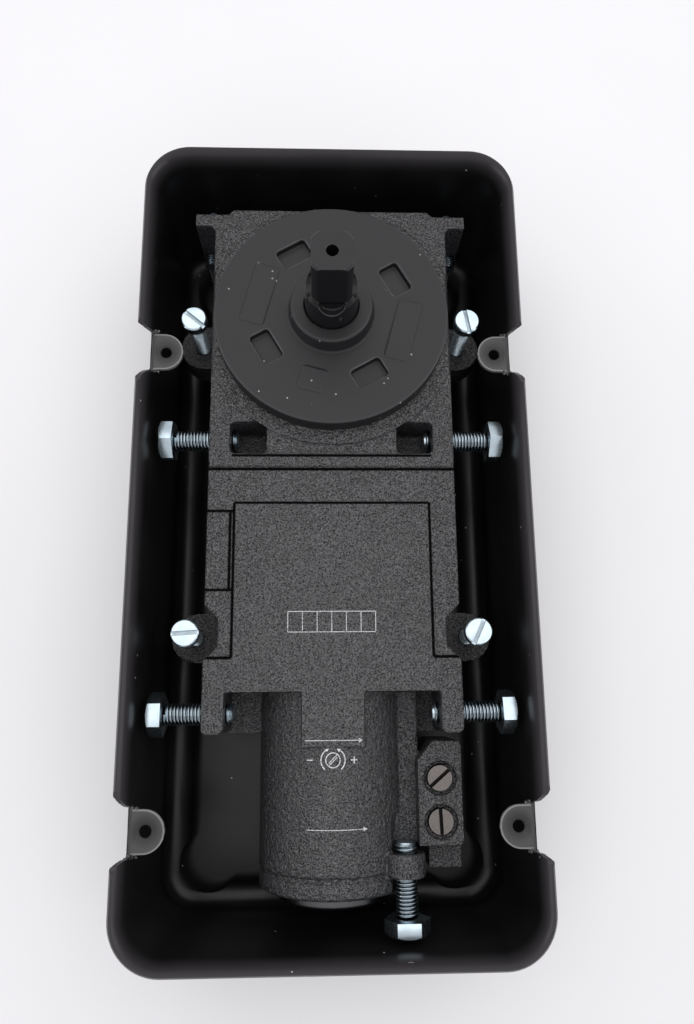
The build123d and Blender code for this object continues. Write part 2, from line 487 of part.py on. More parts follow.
# Piston and roller
def piston():
    low, high = CAM_Z0 - ARM_FIT, CAM_Z1 + ARM_FIT
    shape = rod_y(BORE_R - PISTON_FIT, PISTON_Y0, PISTON_Y1)
    for z0 in (high, low - ARM_T):
        shape += box(-ARM_W, ARM_W, PISTON_Y1 - 2 * ARM_T, ROLLER_Y, z0, z0 + ARM_T)
        shape += rod(ARM_W, z0, z0 + ARM_T, 0, ROLLER_Y)
        shape += box(-2 * ARM_W, 2 * ARM_W, PISTON_Y1 - ARM_T, PISTON_Y1 + ARM_T, z0, z0 + ARM_T)
    shape -= box(-BORE_R, BORE_R, PISTON_Y1 - ARM_T, CY, low, high)
    shape -= rod(PIN_R, low - 2 * ARM_T, high + 2 * ARM_T, 0, ROLLER_Y)
    shape += rod_y(SPIGOT_R, PISTON_Y0 - SPIGOT_L, PISTON_Y0 + CLEAR)
    shape -= rod_y(CHECK_SEAT_R, PISTON_Y0 - SPIGOT_L - CLEAR, PISTON_Y1)
    shape -= rod_y(CHECK_R + BALL_FIT, PISTON_Y0 + CHECK_IN, PISTON_Y1)
    return shape - ring_groove(BORE_R + CLEAR)


def ring_groove(r):
    y = PISTON_Y0 + RING_OFF
    return ring_y(BORE_R - RING_DEEP, r, y, y + RING_L)


def piston_ring():
    return ring_groove(BORE_R - RING_GAP)


def check_ball():
    seat = math.sqrt(CHECK_R**2 - CHECK_SEAT_R**2)
    return Pos(0, PISTON_Y0 + CHECK_IN + seat + BALL_FIT, CYL_Z) * Sphere(CHECK_R)


def check_screw():
    y = PISTON_Y0 + CHECK_IN + 2 * CHECK_R
    return ring_y(CHECK_SCREW_R, CHECK_R + BALL_FIT, y, y + CHECK_SCREW_L)


def cam_roller():
    shape = ring(PIN_R + BEAR_FIT, ROLLER_R, CAM_Z0, CAM_Z1, 0, ROLLER_Y)
    return chamfer(shape.edges().filter_by(GeomType.CIRCLE).sort_by(SortBy.RADIUS)[-2:], SMALL_EDGE)


def roller_pin():
    return rod(PIN_R, CAM_Z0 - ARM_FIT - ARM_T, CAM_Z1 + ARM_FIT + ARM_T, 0, ROLLER_Y)


def main_spring():
    first, last = PISTON_Y0 - COIL_FIT - WIRE_R, PLUG_Y1 + COIL_FIT + WIRE_R
    path = Helix(pitch=(first - last) / COILS, height=first - last, radius=COIL_R)
    wire = Plane(path @ 0, z_dir=path % 0) * RegularPolygon(WIRE_R, 6)
    shape = Pos(0, first, CYL_Z) * Rot(90, 0, 0) * sweep(wire, path=path, is_frenet=True)
    for y in (first, last):
        shape += Pos(0, y, CYL_Z) * Rot(90, 0, 0) * Torus(COIL_R, WIRE_R)
    return shape


# End plug
def end_plug():
    shape = chamfer(rod_y(BORE_R, PLUG_Y0, PLUG_Y1).edges().group_by(Axis.Y)[0], PLUG_EDGE)
    y = CYL_Y + PLUG_RING
    shape -= ring_y(BORE_R - PLUG_GROOVE_H, BORE_R + CLEAR, y - PLUG_GROOVE_W / 2, y + PLUG_GROOVE_W / 2)
    shape += rod_y(SPIGOT_R, PLUG_Y1 - CLEAR, PLUG_Y1 + SPIGOT_L)
    shape -= rod_y(SPIGOT_R, PLUG_Y0 - CLEAR, PLUG_Y0 + PLUG_DISH)
    for sx in (-1, 1):
        shape -= rod_y(PLUG_HOLE_R, PLUG_Y0 - CLEAR, PLUG_Y0 + PLUG_HOLE_L, sx * PLUG_HOLE_X)
    return shape


def plug_o_ring():
    return Pos(0, CYL_Y + PLUG_RING, CYL_Z) * Rot(90, 0, 0) * Torus(BORE_R - PLUG_GROOVE_H / 2, PLUG_RING_R)


# Valves
def valve(index, angle):
    y = VALVE_Y[index]
    top = VALVE_TOP - VALVE_DROP
    low = top - VALVE_L
    nose = low - NOSE_L
    shape = rod(VALVE_R, low, top, VALVE_X, y) + rod(VALVE_R - NOSE_STEP, nose, low + CLEAR, VALVE_X, y)
    up = (Align.CENTER, Align.CENTER, Align.MIN)
    point = Cone(POINT_R0, POINT_R1, POINT_L, align=up)
    shape += Pos(VALVE_X, y, nose + POINT_LAP) * Rot(180, 0, 0) * point
    z = low + VALVE_GROOVE_W
    shape -= ring(VALVE_R - VALVE_GROOVE, VALVE_R + CLEAR, z, z + VALVE_GROOVE_W, VALVE_X, y)
    return shape - slot_cut(VALVE_X, y, top, VALVE_R, angle, VALVE_SLOT_H, VALVE_SLOT_W)


def valve_o_ring(index):
    z = VALVE_TOP - VALVE_DROP - VALVE_L + 1.5 * VALVE_GROOVE_W
    return Pos(VALVE_X, VALVE_Y[index], z) * Torus(VALVE_R - VALVE_RING_IN, RING_R)


# Screws and bolts
def hex_bolt(length):
    up, down = (Align.CENTER, Align.CENTER, Align.MIN), (Align.CENTER, Align.CENTER, Align.MAX)
    shank = Cylinder(M8_R, length, align=down)
    shank = chamfer(shank.edges().group_by(Axis.Z)[0], M8_EDGE)
    head = extrude(RegularPolygon(M8_AF / 2, 6, major_radius=False), M8_HEAD)
    dome = Pos(0, 0, M8_HEAD) * Cone(0.66 * M8_AF, 0.47 * M8_AF, 0.3 * M8_HEAD, align=down)
    return shank + (head & (dome + Cylinder(M8_AF, 0.7 * M8_HEAD, align=up)))


def side_bolt(sx, y, turn):
    return on_side(sx, Pos(LAT_X, y, BOLT_Z) * Rot(0, 90, 0) * Rot(0, 0, turn) * hex_bolt(M8_LEN))


def end_bolt():
    return Pos(END_X, END_Y, BOLT_Z) * Rot(90, 0, 0) * hex_bolt(M8_LEN)


def height_screw(sx, point, angle):
    x, y = sx * point[0], point[1]
    seat = SCREW_TIP + M6_LEN
    head = rod(CHEESE_R, seat, seat + CHEESE_H, x, y)
    head = chamfer(head.edges().group_by(Axis.Z)[-1], SMALL_EDGE)
    shank = rod(M6_R, SCREW_TIP, seat + CLEAR, x, y)
    shank = chamfer(shank.edges().group_by(Axis.Z)[0], SCREW_EDGE)
    return head + shank - slot_cut(x, y, seat + CHEESE_H, CHEESE_R, angle)


def set_screw(sx):
    y = EAR_Y0 - SET_OUT
    shape = rod_y(M6_R, y, y + SET_LEN, sx * SET_X, SET_Z)
    ends = shape.edges().group_by(Axis.Y)
    shape = chamfer(ends[0] + ends[-1], SCREW_EDGE)
    return shape - Pos(sx * SET_X, y, SET_Z) * Rot(0, 35, 0) * Box(4 * M6_R, 2 * SLOT_W, SET_SLOT)


def main():
    os.makedirs("parts", exist_ok=True)
    nodes = {
        "cement_box": cement_box(),
        "closer_body": closer_body(),
        "lid": lid(),
        "lid_o_ring": lid_o_ring(),
        "upper_bearing": upper_bearing(),
        "bearing_clip": bearing_clip(),
        "spindle_seal": spindle_seal(),
        "lower_bearing": lower_bearing(),
        "thrust_washer": thrust_washer(),
        "spindle": spindle(),
        "heart_cam": heart_cam(),
        "cam_key": cam_key(),
        "cam_clip": cam_clip(),
        "piston": piston(),
        "piston_ring": piston_ring(),
        "check_ball": check_ball(),
        "check_screw": check_screw(),
        "cam_roller": cam_roller(),
        "roller_pin": roller_pin(),
        "main_spring": main_spring(),
        "end_plug": end_plug(),
        "plug_o_ring": plug_o_ring(),
        "closing_valve": valve(0, 40),
        "closing_valve_o_ring": valve_o_ring(0),
        "latching_valve": valve(1, 92),
        "latching_valve_o_ring": valve_o_ring(1),
        "side_bolt_far_left": side_bolt(-1, LAT_FAR_Y, 12),
        "side_bolt_far_right": side_bolt(1, LAT_FAR_Y, 5),
        "side_bolt_near_left": side_bolt(-1, LAT_NEAR_Y, 30),
        "side_bolt_near_right": side_bolt(1, LAT_NEAR_Y, 20),
        "end_bolt": end_bolt(),
        "set_screw_left": set_screw(-1),
        "set_screw_right": set_screw(1),
        "height_screw_far_left": height_screw(-1, LUG_FAR, -40),
        "height_screw_far_right": height_screw(1, LUG_FAR, 100),
        "height_screw_near_left": height_screw(-1, LUG_NEAR, 4),
        "height_screw_near_right": height_screw(1, LUG_NEAR, 65),
    }
    for name, shape in nodes.items():
        export_step(shape, "parts/" + name + ".step")


main()
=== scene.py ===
import math
import bmesh
import bpy
from mathutils import Matrix, Vector, noise
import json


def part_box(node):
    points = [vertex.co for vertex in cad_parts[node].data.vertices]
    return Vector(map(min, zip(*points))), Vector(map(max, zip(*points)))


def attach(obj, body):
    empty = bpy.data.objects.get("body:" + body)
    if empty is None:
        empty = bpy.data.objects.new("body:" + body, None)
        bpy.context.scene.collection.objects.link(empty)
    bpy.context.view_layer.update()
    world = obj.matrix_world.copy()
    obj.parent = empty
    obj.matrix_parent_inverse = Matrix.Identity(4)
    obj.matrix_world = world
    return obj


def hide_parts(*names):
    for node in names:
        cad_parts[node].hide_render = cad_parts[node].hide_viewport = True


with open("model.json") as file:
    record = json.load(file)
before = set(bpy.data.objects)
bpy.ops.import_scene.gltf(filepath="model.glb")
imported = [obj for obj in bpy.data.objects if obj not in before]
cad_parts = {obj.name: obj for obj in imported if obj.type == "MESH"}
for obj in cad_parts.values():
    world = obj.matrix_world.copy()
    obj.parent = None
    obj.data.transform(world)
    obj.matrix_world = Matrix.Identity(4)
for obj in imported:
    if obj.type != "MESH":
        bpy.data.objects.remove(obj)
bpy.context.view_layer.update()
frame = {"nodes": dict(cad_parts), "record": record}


# Cement box
# One sheet of 1.5 mm steel, pressed into a pan and painted black: a flared rim, walls, a
# foot radius and a raised floor whose corners bulge in round lobes. Four notches are cut
# in the walls, and their tongues are bent inwards and tapped.
MM = 0.001
scene = bpy.context.scene
RIM_X, RIM_Y, BOX_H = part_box("cement_box")[1]
SHEET, LIP = 1.5 * MM, 2.8 * MM
INNER_X, INNER_Y = RIM_X - LIP - SHEET, RIM_Y - LIP - SHEET
CORNER, FOOT = 13.5 * MM, 5.5 * MM
PLAT_TOP = 4 * MM
PLAT_X, PLAT_Y0, PLAT_Y1 = INNER_X - 9.7 * MM, -INNER_Y + 8.4 * MM, INNER_Y - 12.9 * MM
TAB_TOP, TAB_W, TAB_L = BOX_H - 10 * MM, 14.6 * MM, 12.8 * MM
TAB_X, TAB_MID, TAB_Y = 64 * MM, -20.3 * MM, 88 * MM
HOLE_R, SINK_R, BEND_R = 2.1 * MM, 2.8 * MM, 1.9 * MM
CHIP_X, CHIP_Y, CHIP_Z, CHIP_W = 24.5 * MM, -148.15 * MM, 64.9 * MM, 2.6 * MM


def mesh_object(name, bm):
    mesh = bpy.data.meshes.new(name)
    bm.to_mesh(mesh)
    bm.free()
    obj = bpy.data.objects.new(name, mesh)
    scene.collection.objects.link(obj)
    return obj


def settle(obj):
    """The object's modifiers become its mesh."""
    graph = bpy.context.evaluated_depsgraph_get()
    old = obj.data
    obj.data = bpy.data.meshes.new_from_object(obj.evaluated_get(graph))
    obj.modifiers.clear()
    bpy.data.meshes.remove(old)
    return obj


def modify(obj, kind, **settings):
    modifier = obj.modifiers.new(kind.title(), kind)
    for key, value in settings.items():
        setattr(modifier, key, value)
    return modifier


def cut(obj, tool, operation="DIFFERENCE"):
    modify(obj, "BOOLEAN", operation=operation, solver="EXACT", object=tool)
    settle(obj)
    bpy.data.objects.remove(tool)
    return obj


def joined(name, objects):
    bm = bmesh.new()
    for obj in objects:
        bm.from_mesh(obj.data)
        bpy.data.objects.remove(obj)
    return mesh_object(name, bm)


def grid(columns, rows):
    """A bmesh grid whose vertices carry their column and row in x and y."""
    bm = bmesh.new()
    bmesh.ops.create_grid(bm, x_segments=columns, y_segments=rows, size=1)
    for v in bm.verts:
        v.co = (round((v.co.x + 1) / 2 * columns), round((v.co.y + 1) / 2 * rows), 0)
    return bm


def finish_piece(obj, body, material, nodes=(), sharp=35):
    mesh = obj.data
    mesh.shade_smooth()
    mesh.set_sharp_from_angle(angle=math.radians(sharp))
    mesh.materials.clear()
    mesh.materials.append(material)
    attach(obj, body)
    if nodes:
        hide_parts(*nodes)
    return obj


class Socket:
    def __init__(self, tree, socket):
        self.tree, self.socket = tree, socket

    def math(self, operation, other=0.0):
        node = self.tree.nodes.new("ShaderNodeMath")
        node.operation = operation
        for place, value in zip(node.inputs, (self, other)):
            connect(self.tree, value, place)
        return Socket(self.tree, node.outputs[0])

    def __add__(self, other):
        return self.math("ADD", other)

    def __mul__(self, other):
        return self.math("MULTIPLY", other)

    def __sub__(self, other):
        return self.math("SUBTRACT", other)

    def __rsub__(self, other):
        return self.math("MULTIPLY", -1.0) + other

    def ramp(self, low, high):
        """0 below low and 1 above high, smooth between."""
        node = self.tree.nodes.new("ShaderNodeMapRange")
        node.interpolation_type = "SMOOTHSTEP"
        node.inputs["From Min"].default_value = low
        node.inputs["From Max"].default_value = high
        connect(self.tree, self, node.inputs["Value"])
        return Socket(self.tree, node.outputs["Result"])


def connect(tree, value, place):
    if isinstance(value, Socket):
        tree.links.new(value.socket, place)
    elif value is not None:
        place.default_value = value


class Finish:
    def __init__(self, name, base, rough, metal=0.0):
        self.material = bpy.data.materials.new(name)
        self.material.use_nodes = True
        self.tree = self.material.node_tree
        self.shader = self.tree.nodes["Principled BSDF"]
        self.set("Base Color", (*base, 1) if isinstance(base, tuple) else base)
        self.set("Roughness", rough)
        self.set("Metallic", metal)
        self.place = self.node("ShaderNodeTexCoord", {}, {}, "Object")

    def set(self, name, value):
        connect(self.tree, value, self.shader.inputs[name])

    def node(self, kind, settings, inputs, output=0):
        node = self.tree.nodes.new(kind)
        for key, value in settings.items():
            setattr(node, key, value)
        for key, value in inputs.items():
            connect(self.tree, value, node.inputs[key])
        return Socket(self.tree, node.outputs[output])

    def noise(self, size, detail=2.0, stretch=(1, 1, 1)):
        """Noise whose lumps are about size metres wide."""
        where = self.place
        if stretch != (1, 1, 1):
            where = self.node("ShaderNodeMapping", {}, {"Vector": where, "Scale": stretch})
        return self.node("ShaderNodeTexNoise", {}, {"Vector": where, "Scale": 1 / size, "Detail": detail})

    def axes(self):
        node = self.tree.nodes.new("ShaderNodeSeparateXYZ")
        connect(self.tree, self.place, node.inputs[0])
        return [Socket(self.tree, out) for out in node.outputs]

    def edges(self, low, high):
        """1 on sharp outer edges, where the finishes paint a highlight for the light they catch."""
        node = self.tree.nodes.new("ShaderNodeNewGeometry")
        return Socket(self.tree, node.outputs["Pointiness"]).ramp(low, high)

    def hollow_shade(self, reach):
        """1 in narrow gaps and roots that are about reach metres wide, 0 in the open: the mask by which the
        finishes paint shade.
        """
        inputs = {"Distance": reach}
        open_sky = self.node("ShaderNodeAmbientOcclusion", {"samples": 8}, inputs, "AO")
        return open_sky.ramp(0.85, 0.35)

    def specks(self, size, share):
        """1 on small round specks that sit in a share of the cells of that size."""
        cells = {"Vector": self.place, "Scale": 1 / size}
        near = self.node("ShaderNodeTexVoronoi", {}, cells)
        pick = self.node("ShaderNodeTexVoronoi", {}, cells, "Color")
        pick = self.node("ShaderNodeSeparateColor", {}, {0: pick})
        return near.math("LESS_THAN", 0.22) * pick.math("LESS_THAN", share)

    def mix(self, share, first, second):
        colours = {6: (*first, 1) if isinstance(first, tuple) else first}
        colours[7] = (*second, 1) if isinstance(second, tuple) else second
        return self.node("ShaderNodeMix", {"data_type": "RGBA"}, {0: share, **colours}, 2)

    def bump(self, height, depth):
        inputs = {"Height": height, "Distance": depth, "Strength": 1.0}
        self.set("Normal", self.node("ShaderNodeBump", {}, inputs))


def plain_metal(name, base, rough, grain=0.3):
    f = Finish(name, base, rough, 1.0)
    fine = f.noise(grain * MM, 2.0)
    f.set("Roughness", fine * 0.16 + (rough - 0.08))
    f.bump(fine, 0.01 * MM)
    return f.material


def box_finish():
    """Black paint with painted light: a painted sheen up the rim, the tongues painted paler with painted
    shade in their dish, and a painted highlight along their edges.
    """
    f = Finish("box_paint", (0.012, 0.012, 0.0125), 0.4)
    cloud = f.noise(30 * MM).ramp(0.35, 0.7)
    peel = f.noise(0.9 * MM, 1.0)
    dust = f.specks(1.5 * MM, 0.006)
    x, y, z = f.axes()
    across = ((y - TAB_MID).math("ABSOLUTE") - TAB_Y).math("ABSOLUTE")
    half, end_x = TAB_W / 2, RIM_X - LIP - TAB_L
    inwards = (end_x + half - x.math("ABSOLUTE")).math("MAXIMUM", 0.0)
    to_edge = half - (inwards * inwards + across * across).math("SQRT")
    level = z.math("GREATER_THAN", TAB_TOP - 1.4 * MM) * z.math("LESS_THAN", TAB_TOP + 0.3 * MM)
    on_tab = level * to_edge.math("GREATER_THAN", -0.4 * MM) * x.math("ABSOLUTE").math("LESS_THAN", INNER_X)
    paint = f.mix(cloud, (0.005, 0.005, 0.0055), (0.009, 0.0085, 0.0085))
    # Painted sheen: the paint is painted paler up the flared rim, where it catches the light.
    paint = f.mix(z.ramp(59 * MM, 67 * MM), paint, (0.032, 0.029, 0.032))
    # Painted light on the tongues: their tops are painted paler, with painted shade darker towards the hole
    # in their dish.
    from_hole = x.math("ABSOLUTE") - TAB_X
    from_hole = (from_hole * from_hole + across * across).math("SQRT")
    dish_shade = from_hole.ramp(2.2 * MM, 7 * MM) * 0.7 + 0.3
    paint = f.mix(on_tab * dish_shade, paint, (0.06, 0.057, 0.058))
    # Painted highlight: a pale band along the tongues' rounded edges.
    paint = f.mix(on_tab * to_edge.ramp(0.75 * MM, 0.3 * MM), paint, (0.2, 0.2, 0.2))
    f.set("Base Color", f.mix(dust, paint, (0.35, 0.35, 0.35)))
    f.set("Specular IOR Level", 0.3)
    f.set("Roughness", cloud * 0.06 + 0.32)
    f.bump(peel, 0.012 * MM)
    return f.material


box_paint = box_finish()
bare_edge = plain_metal("bare_edge", (0.13, 0.13, 0.13), 0.5, 0.8)
chip_white = plain_metal("chip_white", (0.5, 0.48, 0.42), 0.6, 0.8)


def wall_profile():
    """Offset from the wall's inner face and height, from the rim down to the floor."""
    flare = [(3.25, 0.0), (2.8, 0.3), (2.25, 0.85), (1.7, 1.6), (1.2, 2.6), (0.8, 3.8)]
    flare += [(0.45, 5.4), (0.2, 7.4), (0.05, 9.8), (0, 12.5)]
    steps = [(a * MM, BOX_H - b * MM) for a, b in flare]
    for i in range(9):
        a = math.radians(90 * i / 8)
        steps.append((-FOOT * (1 - math.cos(a)), SHEET + FOOT * (1 - math.sin(a))))
    return steps


def corner_point(column, per, half_x, half_y, radius, spread=0.0):
    """A point of a rounded rectangle whose four corners have per + 1 points each."""
    corner, step = divmod(column % (4 * (per + 1)), per + 1)
    turn = math.radians(90 * corner - spread + (90 + 2 * spread) * step / per)
    sx, sy = ((1, 1), (-1, 1), (-1, -1), (1, -1))[corner]
    return sx * (half_x - radius) + radius * math.cos(turn), sy * (half_y - radius) + radius * math.sin(turn)


def pan_shell():
    per = 14
    profile = wall_profile()
    rise = [(1.0, 0.0), (0.4, 0.2), (-0.2, 0.65), (-0.8, 1.2), (-1.5, 1.75)]
    rise += [(-2.4, 2.2), (-3.5, 2.42), (-4.9, 2.5)]
    bm = grid(4 * (per + 1), len(profile) + len(rise) - 1)
    mid_y, half_y = (PLAT_Y0 + PLAT_Y1) / 2, (PLAT_Y1 - PLAT_Y0) / 2
    for v in bm.verts:
        column, row = int(v.co.x), int(v.co.y)
        if row < len(profile):
            out, z = profile[row]
            x, y = corner_point(column, per, INNER_X + out, INNER_Y + out, CORNER + out)
        else:
            out, up = rise[row - len(profile)]
            radius, lobe = 12 * MM, 3 * MM
            spread = math.degrees(math.acos(1 - lobe / radius))
            x, y = corner_point(column, per, PLAT_X + lobe, half_y + lobe, radius, spread)
            x, y, z = x * (1 + out * MM / PLAT_X), mid_y + y * (1 + out * MM / half_y), SHEET + up * MM
        v.co = (x, y, z)
    bmesh.ops.remove_doubles(bm, verts=bm.verts, dist=1e-6)
    inner = [e for e in bm.edges if e.is_boundary and e.verts[0].co.z < PLAT_TOP + MM]
    bmesh.ops.edgeloop_fill(bm, edges=inner)
    bmesh.ops.recalc_face_normals(bm, faces=bm.faces)
    top = max(bm.faces, key=lambda f: f.calc_area())
    if top.normal.z < 0:
        bmesh.ops.reverse_faces(bm, faces=bm.faces)
    obj = mesh_object("pressed_box", bm)
    modify(obj, "SOLIDIFY", thickness=SHEET, offset=-1, use_even_offset=True)
    return settle(obj)


def tongue(sx, y_mid):
    """A tongue that leaves the wall, bends inwards and dips round its tapped hole."""
    wall_x = INNER_X + SHEET / 2
    end_x = RIM_X - LIP - TAB_L
    flat = wall_x - BEND_R - end_x
    columns, rows = 40, 16
    bm = grid(columns, rows)
    run_up, arc = 5 * MM, BEND_R * math.pi / 2
    total = run_up + arc + flat
    for v in bm.verts:
        s = total * v.co.x / columns
        side = 2 * v.co.y / rows - 1
        half = TAB_W / 2
        left = total - s
        if left < half:
            half = math.sqrt(max(0.0, half**2 - (half - left)**2))
        if run_up - 1 * MM < s < run_up + 5 * MM:
            half += 1.6 * MM * (1 - (s - run_up + 1 * MM) / (6 * MM))**2
        if s < run_up:
            x, z = wall_x, TAB_TOP - SHEET / 2 - BEND_R - run_up + s
        elif s < run_up + arc:
            a = (s - run_up) / BEND_R
            x, z = wall_x - BEND_R * (1 - math.cos(a)), TAB_TOP - SHEET / 2 - BEND_R * (1 - math.sin(a))
        else:
            x, z = wall_x - BEND_R - (s - run_up - arc), TAB_TOP - SHEET / 2
        y = y_mid + side * half
        if s > run_up + arc:
            reach = math.hypot(x - TAB_X, y - y_mid)
            dip = min(1.0, max(0.0, (6.4 * MM - reach) / (4.4 * MM)))
            z -= 0.5 * MM * dip * dip * (3 - 2 * dip)
        v.co = (sx * x, y, z)
    bmesh.ops.remove_doubles(bm, verts=bm.verts, dist=0.02 * MM)
    bmesh.ops.recalc_face_normals(bm, faces=bm.faces)
    obj = mesh_object("tongue", bm)
    modify(obj, "SOLIDIFY", thickness=SHEET * 0.97, offset=0, use_even_offset=True)
    settle(obj)
    modify(obj, "BEVEL", width=0.35 * MM, segments=2, limit_method="ANGLE", angle_limit=math.radians(40))
    return settle(obj)


def notch_tool(sx, y_mid, lean, far, near):
    """The cut that frees a tongue: upright at its root, sweeping out to the rim, torn at the edge."""
    low, rise = TAB_W / 2 + 0.9 * MM, 7.6 * MM

    def side(turn, sweep):
        steps = [(low, -1.5 * MM)]
        for k in range(7):
            a = math.radians(15 * k)
            steps.append((low + sweep * (1 - math.cos(a)), 1.2 * MM + rise * math.sin(a)))
        steps += [(low + sweep + 0.9 * MM, 9.5 * MM), (low + sweep + 1.2 * MM, 11 * MM)]
        return [(y_mid + lean * up / (BOX_H - TAB_TOP) + turn * out, TAB_TOP + up) for out, up in steps]

    outline = side(1, far) + side(-1, near)[::-1]
    bm = bmesh.new()
    corners = [bm.verts.new((INNER_X - 3 * SHEET, a, b)) for a, b in outline]
    face = bm.faces.new(corners)
    edges = list(bm.edges)
    bmesh.ops.subdivide_edges(bm, edges=edges, cuts=3)
    for v in bm.verts:
        torn = 0.4 * MM if v.co.z < TAB_TOP + 4 * MM else 0.15 * MM
        v.co += torn * noise.noise_vector(v.co * 1500 + Vector((0, 0, sx))) * Vector((0, 1, 1))
    out = bmesh.ops.extrude_face_region(bm, geom=[face])
    moved = [v for v in out["geom"] if isinstance(v, bmesh.types.BMVert)]
    bmesh.ops.translate(bm, verts=moved, vec=(7 * SHEET, 0, 0))
    bmesh.ops.scale(bm, verts=bm.verts, vec=(sx, 1, 1))
    bmesh.ops.recalc_face_normals(bm, faces=bm.faces)
    return mesh_object("notch", bm)


def drill(x, y, z0, z1, low, high):
    bm = bmesh.new()
    where = Matrix.Translation((x, y, (z0 + z1) / 2))
    bmesh.ops.create_cone(bm, cap_ends=True, segments=40, radius1=low, radius2=high,
                          depth=z1 - z0, matrix=where)
    return mesh_object("drill", bm)


pressed_box = pan_shell()
for sx in (-1, 1):
    for sy, lean, far, near in ((-1, 1.2 * MM, 4.2 * MM, 2.9 * MM), (1, -2.9 * MM, 1.9 * MM, 4.2 * MM)):
        y = TAB_MID + sy * TAB_Y
        cut(pressed_box, notch_tool(sx, y, lean, far, near))
        cut(pressed_box, tongue(sx, y), "UNION")
        cut(pressed_box, drill(sx * TAB_X, y, TAB_TOP - 5 * MM, TAB_TOP + 3 * MM, HOLE_R, HOLE_R))
        cut(pressed_box, drill(sx * TAB_X, y, TAB_TOP - 0.9 * MM, TAB_TOP - 0.3 * MM, HOLE_R, SINK_R))
finish_piece(pressed_box, "housing", box_paint, ["cement_box"], 40)
pressed_box.data.materials.append(bare_edge)
for face in pressed_box.data.polygons:
    x, y, z = face.center
    near_tab = min(abs(y - TAB_MID - TAB_Y), abs(y - TAB_MID + TAB_Y)) < TAB_W / 2 + 2.5 * MM
    torn = abs(x) > INNER_X - 0.1 * MM and abs(face.normal.x) < 0.3 and z < TAB_TOP + 4 * MM
    if near_tab and z > TAB_TOP - 1.2 * MM and torn:
        face.material_index = 1


def burrs(sx, y_mid, seed):
    """Crumbs of torn steel and paint at both root corners of a tongue."""
    bm = bmesh.new()
    for k in range(10):
        side = -1 if k % 2 else 1
        spread = noise.random_vector() * 0.5 * MM
        along = sx * (INNER_X + (0.3 * k - 1.9) * MM)
        place = Vector((along, y_mid + side * (TAB_W / 2 + 0.7 * MM), TAB_TOP))
        radius = (0.34 + 0.12 * ((k + seed) % 4)) * MM
        where = Matrix.Translation(place + spread)
        for v in bmesh.ops.create_icosphere(bm, subdivisions=2, radius=radius, matrix=where)["verts"]:
            v.co += 0.8 * radius * noise.noise_vector(v.co * 2200)
    return mesh_object("burrs", bm)


noise.seed_set(7)
crumbs = [burrs(sx, TAB_MID + sy * TAB_Y, 2 + sx + sy) for sx in (-1, 1) for sy in (-1, 1)]
finish_piece(joined("torn_burrs", crumbs), "housing", bare_edge, sharp=60)


def paint_chip(x, y, z, width, tilt):
    """A flake knocked out of the paint near the rim."""
    bm = bmesh.new()
    bmesh.ops.create_icosphere(bm, subdivisions=3, radius=width / 2)
    for v in bm.verts:
        v.co += 0.12 * width * noise.noise_vector(v.co * 2500)
    bmesh.ops.scale(bm, verts=bm.verts, vec=(1, 0.55, 0.12))
    where = Matrix.Translation((x, y, z)) @ Matrix.Rotation(math.radians(tilt), 4, "X")
    bmesh.ops.transform(bm, matrix=where @ Matrix.Rotation(math.radians(20), 4, "Z"), verts=bm.verts)
    return finish_piece(mesh_object("paint_chip", bm), "housing", chip_white)


paint_chip(CHIP_X, CHIP_Y, CHIP_Z, CHIP_W, 62)


# Closer body
# The iron casting that carries everything: sand cast, so every corner is rounded, and
# painted over its grain. A low web stands beside each of its two prongs.
CAST_TOP, CREST_Z, CREST_R = 59 * MM, 31 * MM, 27.5 * MM
WEB_IN, WEB_OUT, WEB_NEAR, WEB_FAR = 25 * MM, 40 * MM, -77 * MM, -60 * MM
WEB_LOW, WEB_TOP = 15 * MM, 37 * MM
CAST_VOXEL, CAST_FACES = 0.5 * MM, 195000

# Lines cast into the plate, painted dark as painted shade in their grooves: across which axis, at what
# place, and from where to where.
CAST_LINES = [("x", -36.2, -50, 7), ("x", 36.2, -50, 7), ("y", 7, -36.2, 36.2),
              ("y", -50, -46.3, -36.2), ("y", -50, 36.2, 46.3), ("y", 25.4, -37.5, 37.5),
              ("y", 3.9, -46.3, -36.2), ("y", -25.6, -46.3, -36.2), ("x", -37.6, -25.6, 3.9),
              ("y", 20.2, -46.3, 46.3)]


def cast_finish():
    f = Finish("cast_paint", (0.017, 0.017, 0.018), 0.4)
    sand = f.noise(0.55 * MM, 3.0)
    lump = f.noise(1.7 * MM, 1.0)
    patch = f.noise(14 * MM).ramp(0.35, 0.68)
    grain = sand.ramp(0.3, 0.72)
    # Painted light in the grain: peaks are painted pale as painted glints, pits painted dark as painted
    # shade.
    painted_grain_light = f.mix(grain, (0.006, 0.006, 0.007), (0.042, 0.041, 0.046))
    x, y, z = f.axes()
    lines = 0.0
    for across, at, low, high in CAST_LINES:
        here, there = (x, y) if across == "x" else (y, x)
        inside = there.math("GREATER_THAN", low * MM) * there.math("LESS_THAN", high * MM)
        lines = (here - at * MM).math("ABSOLUTE").ramp(0.65 * MM, 0.25 * MM) * inside + lines
    lines = lines.math("MINIMUM", 1.0) * z.math("GREATER_THAN", 57.6 * MM)
    base = f.mix(patch * 0.3, painted_grain_light, (0.018, 0.0175, 0.019))
    # Painted highlight: sharp edges of the casting are painted paler.
    edged = f.mix(f.edges(0.53, 0.6) * 0.7, base, (0.12, 0.118, 0.125))
    # Painted shade: the cast lines are painted near black.
    f.set("Base Color", f.mix(lines * 0.9, edged, (0.002, 0.002, 0.002)))
    f.set("IOR", 1.7)
    f.set("Specular IOR Level", (grain * 0.8 + 0.2) * (1.0 - lines))
    f.set("Roughness", sand * 0.2 + 0.2)
    f.bump(sand + lump - lines * 0.8, 0.8 * MM)
    return f.material


